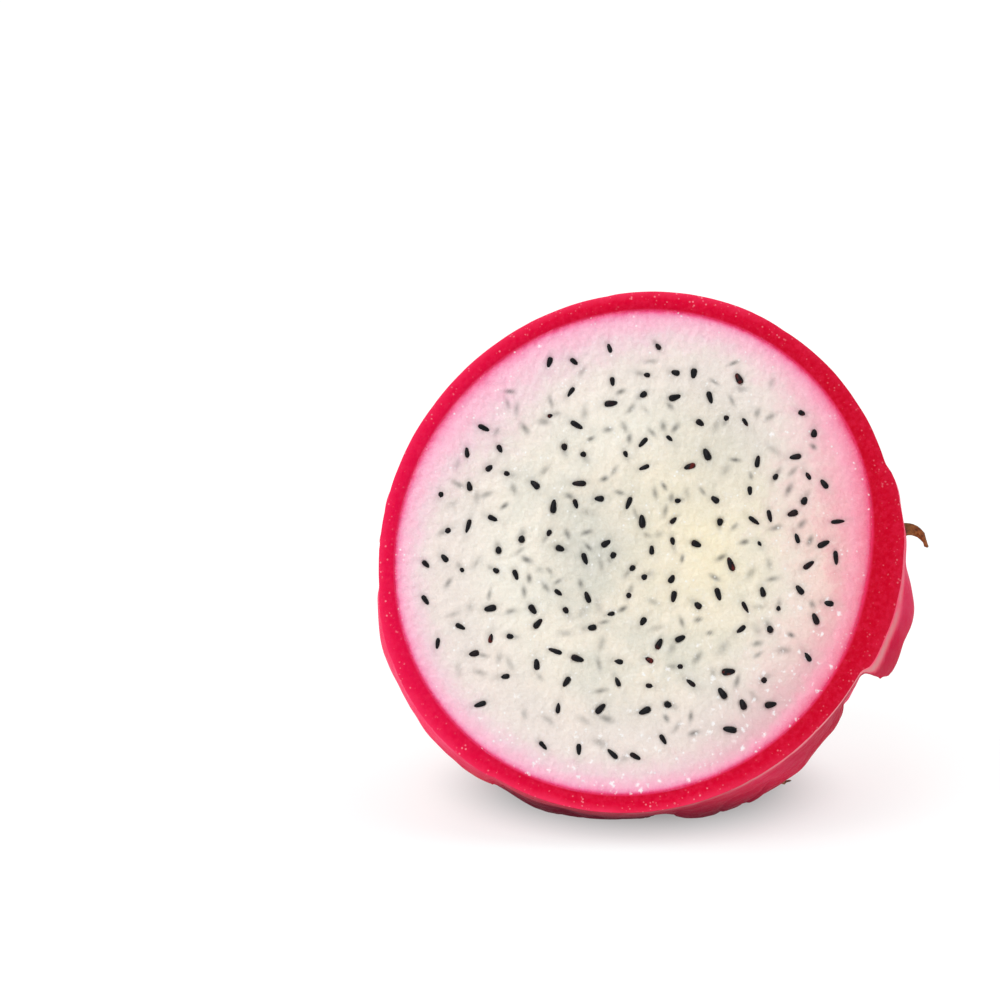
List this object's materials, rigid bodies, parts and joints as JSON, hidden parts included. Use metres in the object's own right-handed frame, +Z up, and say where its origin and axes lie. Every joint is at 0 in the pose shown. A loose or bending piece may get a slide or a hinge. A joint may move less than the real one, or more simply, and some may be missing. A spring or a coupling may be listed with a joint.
{
  "type": "dragon fruit half",
  "caption": "Half of a dragon fruit, cut straight across: white flesh dotted with black seeds in a pink rind with leafy scales.",
  "frame": {"origin": "centre of the small flat spot under the belly that the fruit rests on", "axes": "+Z up; the cut face looks towards -Y and leans back 20 degrees, so the fruit's own axis runs back along +Y and down; +X is to the right as seen from the cut side"},
  "size_m": [0.0911, 0.0855, 0.0895],
  "materials": {
    "rind": "satin",
    "flesh": "satin",
    "seed": "gloss"
  },
  "bodies": {
    "root": {"rind": "rind", "flesh": "flesh"}
  },
  "joints": []
}
